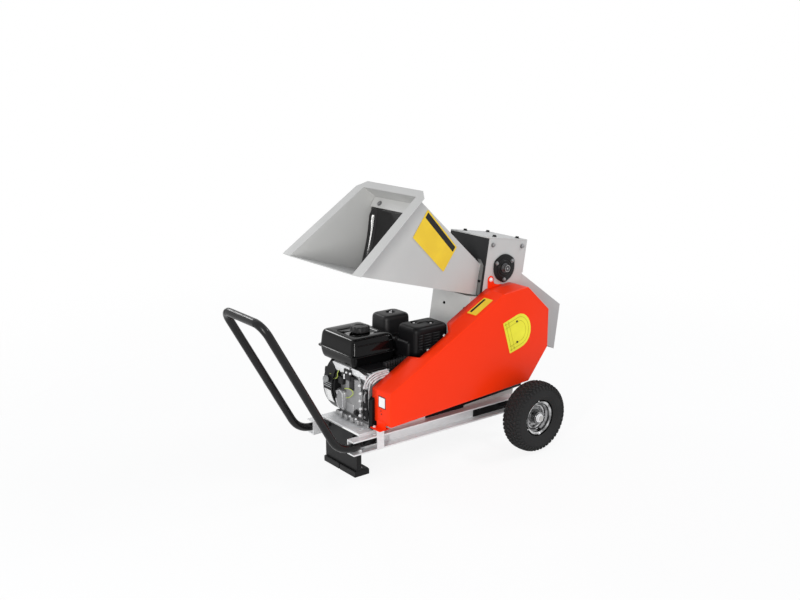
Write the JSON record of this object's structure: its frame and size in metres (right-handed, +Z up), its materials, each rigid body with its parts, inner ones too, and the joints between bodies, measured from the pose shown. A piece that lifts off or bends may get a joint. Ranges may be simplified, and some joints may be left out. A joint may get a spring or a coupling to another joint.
{
  "type": "petrol wood chipper",
  "caption": "Wheeled wood chipper: sloped feed hopper with curtain, tilted chipping chamber, chute, covered belt drive, small engine, rail frame and push handle.",
  "frame": {"origin": "on the ground under the middle of the footprint", "axes": "+X towards the wheels and the discharge chute, -X towards the handle, -Y the side with the belt cover, +Z up"},
  "size_m": [1.3409, 0.6494, 0.9699],
  "materials": {
    "grey_paint": "semi-gloss powder coat",
    "red_paint": "gloss",
    "black_paint": "satin",
    "zinc_steel": "zinc plated",
    "bare_steel": "machined",
    "tyre_rubber": "matte",
    "black_rubber": "satin",
    "chrome": "polished",
    "cast_aluminium": "cast",
    "black_plastic": "satin",
    "gloss_black": "high gloss",
    "grey_plastic": "satin",
    "wire_yellow": "satin",
    "cast_iron": "painted"
  },
  "bodies": {
    "frame": {"axle": "bare_steel", "rail_near": "zinc_steel", "rail_far": "zinc_steel", "cross_member": "black_paint", "engine_plate": "zinc_steel", "front_leg": "black_paint", "foot_pad_near": "black_rubber", "foot_pad_far": "black_rubber", "axle_bracket_near": "black_paint", "axle_bracket_far": "black_paint", "handle": "black_paint", "side_plate_near": "grey_paint", "side_plate_far": "grey_paint", "top_plate": "grey_paint", "upper_front_plate": "black_paint", "lower_front_plate": "grey_paint", "belly": "grey_paint", "bed_knife": "bare_steel", "hopper": "grey_paint", "curtain_strip": "grey_paint", "roller_bearing_near": "black_paint", "roller_bearing_far": "black_paint", "rotor_bearing_near": "black_paint", "rotor_bearing_far": "black_paint", "drive_belt": "black_rubber", "chute": "grey_paint", "belt_cover": "red_paint", "cover_foot": "red_paint", "cover_strap": "zinc_steel", "crankcase": "cast_aluminium", "cylinder": "cast_aluminium", "valve_cover": "black_paint", "carburettor": "cast_aluminium", "air_cleaner_base": "black_plastic", "air_cleaner_cover": "black_plastic", "fan_cover": "black_paint", "recoil_cover": "black_paint", "fuel_tank": "gloss_black", "muffler": "black_paint", "muffler_guard": "black_paint", "spark_plug_cap": "black_rubber", "alert_unit": "wire_yellow"},
    "wheel_near": {"rim_near": "chrome", "tyre_near": "tyre_rubber"},
    "wheel_far": {"rim_far": "chrome", "tyre_far": "tyre_rubber"},
    "rotor": {"drum": "bare_steel", "knife_one": "bare_steel", "knife_two": "bare_steel", "rotor_pulley": "cast_iron"},
    "crank": {"crankshaft": "bare_steel", "clutch_pulley": "cast_iron"},
    "feed_roller": {"feed_roller": "bare_steel"},
    "curtain": {"curtain": "black_rubber"},
    "fuel_cap": {"fuel_cap": "black_plastic"},
    "oil_filler_cap": {"oil_filler_cap": "black_plastic"},
    "engine_switch": {"engine_switch": "grey_plastic"},
    "throttle_lever": {"throttle_lever": "bare_steel"},
    "choke_lever": {"choke_lever": "black_plastic"},
    "recoil_grip": {"recoil_grip": "black_plastic"}
  },
  "joints": [
    {"name": "wheel_near_spin", "type": "hinge", "parent": "frame", "child": "wheel_near", "pos_m": [0.3615, -0.283, 0.13], "axis": [0, 1, 0], "continuous": true},
    {"name": "wheel_far_spin", "type": "hinge", "parent": "frame", "child": "wheel_far", "pos_m": [0.3615, 0.283, 0.13], "axis": [0, 1, 0], "continuous": true},
    {"name": "rotor_spin", "type": "hinge", "parent": "frame", "child": "rotor", "pos_m": [0.32412, 0, 0.40897], "axis": [0, -1, 0], "continuous": true},
    {"name": "crank_spin", "type": "hinge", "parent": "frame", "child": "crank", "pos_m": [-0.1535, 0, 0.2713], "axis": [0, -1, 0], "continuous": true},
    {"name": "feed_roller_spin", "type": "hinge", "parent": "frame", "child": "feed_roller", "pos_m": [0.36239, 0, 0.64792], "axis": [0, -1, 0], "continuous": true},
    {"name": "curtain_swing", "type": "hinge", "parent": "frame", "child": "curtain", "pos_m": [-0.05904, 0, 0.88099], "axis": [0, -1, 0], "range_deg": [-10, 22], "stiffness_Nm_per_rad": 4},
    {"name": "fuel_cap_turn", "type": "hinge", "parent": "frame", "child": "fuel_cap", "pos_m": [-0.1675, 0.055, 0.4651], "axis": [0, 0, 1], "range_deg": [0, 90]},
    {"name": "oil_filler_cap_turn", "type": "hinge", "parent": "frame", "child": "oil_filler_cap", "pos_m": [-0.24234, -0.042, 0.20578], "axis": [-0.9207, 0, 0.3903], "range_deg": [0, 180]},
    {"name": "engine_switch_turn", "type": "hinge", "parent": "frame", "child": "engine_switch", "pos_m": [-0.2723, 0.11, 0.297], "axis": [-1, 0, 0], "range_deg": [0, 45]},
    {"name": "throttle_lever_turn", "type": "hinge", "parent": "frame", "child": "throttle_lever", "pos_m": [-0.0685, 0.1351, 0.33], "axis": [0, 1, 0], "range_deg": [0, 40]},
    {"name": "choke_lever_turn", "type": "hinge", "parent": "frame", "child": "choke_lever", "pos_m": [-0.0002, 0.078, 0.384], "axis": [1, 0, 0], "range_deg": [-40, 0]},
    {"name": "recoil_grip_pull", "type": "slide", "parent": "frame", "child": "recoil_grip", "axis": [-0.9404, 0, 0.3401], "range_m": [0, 0.55], "stiffness_N_per_m": 20, "springref_m": -0.1}
  ],
  "couplings": [
    {"joint": "crank_spin", "follows": "rotor_spin", "ratio": 3.125}
  ]
}
